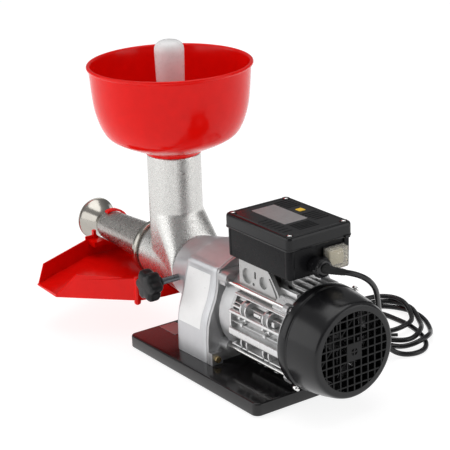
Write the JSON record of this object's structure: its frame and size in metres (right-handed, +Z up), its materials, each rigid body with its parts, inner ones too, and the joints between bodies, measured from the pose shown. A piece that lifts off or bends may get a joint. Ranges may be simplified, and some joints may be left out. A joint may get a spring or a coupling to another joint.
{
  "type": "electric tomato press",
  "caption": "Motor-driven vegetable press with a round hopper, conical strainer, open juice tray, geared drive, finned motor and a coiled mains lead on a rectangular base.",
  "frame": {"origin": "centre of the machine's bounding box on the plane of its feet, leaving out the mains cord", "axes": "+X along the motor axis from the strainer to the fan cowl, +Y away from the side where the juice tray pours, +Z up"},
  "size_m": [0.5902, 0.4024, 0.407],
  "materials": {
    "base_gloss_black": "gloss",
    "foot_rubber": "matte",
    "gearbox_aluminium": "satin machined",
    "motor_aluminium": "die cast",
    "gasket": "matte",
    "steel": "bright",
    "zinc_yellow_steel": "yellow zinc",
    "gear_steel": "machined",
    "winding": "varnished",
    "press_casting": "grainy painted casting",
    "stainless": "polished",
    "perforated_steel": "perforated",
    "auger_plastic": "food-grade moulding",
    "red_gloss": "gloss",
    "clear_white": "translucent",
    "black_satin": "satin",
    "black_gloss_plastic": "satin gloss",
    "white_plastic": "smooth",
    "switch_clear": "translucent",
    "cream_plastic": "smooth",
    "cord_black": "satin"
  },
  "bodies": {
    "press_frame": {"base_plate": "base_gloss_black", "foot_front_left": "foot_rubber", "foot_front_right": "foot_rubber", "foot_rear_left": "foot_rubber", "foot_rear_right": "foot_rubber", "gearbox_front_housing": "gearbox_aluminium", "gearbox_rear_housing": "gearbox_aluminium", "rear_end_shield": "gearbox_aluminium", "housing_gasket": "gasket", "output_seal": "gasket", "foot_screw_left": "zinc_yellow_steel", "foot_screw_right": "zinc_yellow_steel", "output_bearing": "steel", "motor_front_bearing": "steel", "motor_rear_bearing": "steel", "tie_rod_1": "steel", "tie_rod_2": "steel", "tie_rod_3": "steel", "tie_rod_4": "steel", "cowl_screw_upper": "steel", "cowl_screw_lower": "steel", "lid_screw_1": "steel", "lid_screw_2": "steel", "lid_screw_3": "steel", "lid_screw_4": "steel", "motor_frame": "motor_aluminium", "stator_core": "winding", "fan_cowl": "black_satin", "terminal_box_base": "black_satin", "switch_body": "black_satin", "terminal_box_lid": "black_gloss_plastic", "cable_gland_body": "black_gloss_plastic", "cable_gland_nut": "black_gloss_plastic", "run_capacitor": "white_plastic", "terminal_block": "white_plastic", "switch_boot": "switch_clear", "press_body": "press_casting", "waste_nozzle": "stainless", "filter_cone": "perforated_steel", "power_cord_lead": "cord_black", "power_cord_coil": "cord_black", "power_plug": "cord_black"},
    "motor_rotor": {"rotor_core": "gear_steel", "motor_shaft": "steel", "motor_pinion": "gear_steel", "cooling_fan": "black_satin"},
    "intermediate_set": {"intermediate_shaft": "steel", "intermediate_gear": "gear_steel", "intermediate_pinion": "gear_steel"},
    "output_drive": {"output_gear": "gear_steel", "output_shaft": "steel", "auger": "auger_plastic"},
    "rocker": {"switch_rocker": "cream_plastic"},
    "hopper_body": {"hopper": "red_gloss"},
    "pusher_body": {"pusher": "clear_white"},
    "clamp_stud_body": {"clamp_stud": "steel"},
    "clamp_knob_body": {"clamp_knob": "black_satin"},
    "ring_nut_body": {"ring_nut": "stainless"},
    "tray_body": {"juice_tray": "red_gloss"}
  },
  "joints": [
    {"name": "motor_spin", "type": "hinge", "parent": "press_frame", "child": "motor_rotor", "pos_m": [0.0776, 0.01795, 0.0883], "axis": [1, 0, 0], "continuous": true},
    {"name": "intermediate_spin", "type": "hinge", "parent": "press_frame", "child": "intermediate_set", "pos_m": [0.0776, 0.04754, 0.07486], "axis": [1, 0, 0], "continuous": true},
    {"name": "output_spin", "type": "hinge", "parent": "press_frame", "child": "output_drive", "pos_m": [0.0776, 0.01795, 0.1036], "axis": [1, 0, 0], "continuous": true},
    {"name": "switch_rock", "type": "hinge", "parent": "press_frame", "child": "rocker", "pos_m": [0.237, 0.03695, 0.1885], "axis": [0, 0, 1], "range_deg": [0, 13]},
    {"name": "hopper_lift", "type": "slide", "parent": "press_frame", "child": "hopper_body", "axis": [0, 0, 1], "range_m": [0, 0.05]},
    {"name": "pusher_lift", "type": "slide", "parent": "press_frame", "child": "pusher_body", "axis": [0, 0, 1], "range_m": [0, 0.12]},
    {"name": "clamp_travel", "type": "slide", "parent": "press_frame", "child": "clamp_stud_body", "axis": [0, -1, 0], "range_m": [0, 0.006]},
    {"name": "clamp_turn", "type": "hinge", "parent": "clamp_stud_body", "child": "clamp_knob_body", "pos_m": [-0.008, -0.07405, 0.1066], "axis": [0, -1, 0], "range_deg": [0, 1440]},
    {"name": "ring_nut_turn", "type": "hinge", "parent": "press_frame", "child": "ring_nut_body", "pos_m": [-0.1304, 0.01795, 0.1036], "axis": [-1, 0, 0], "range_deg": [0, 90]},
    {"name": "tray_swing", "type": "hinge", "parent": "press_frame", "child": "tray_body", "pos_m": [-0.1724, 0.01795, 0.1036], "axis": [1, 0, 0], "range_deg": [-3, 3]}
  ],
  "couplings": [
    {"joint": "intermediate_spin", "follows": "motor_spin", "ratio": -0.3},
    {"joint": "output_spin", "follows": "motor_spin", "ratio": 0.092857},
    {"joint": "clamp_travel", "follows": "clamp_turn", "m_per_rad": 0.00023873}
  ]
}
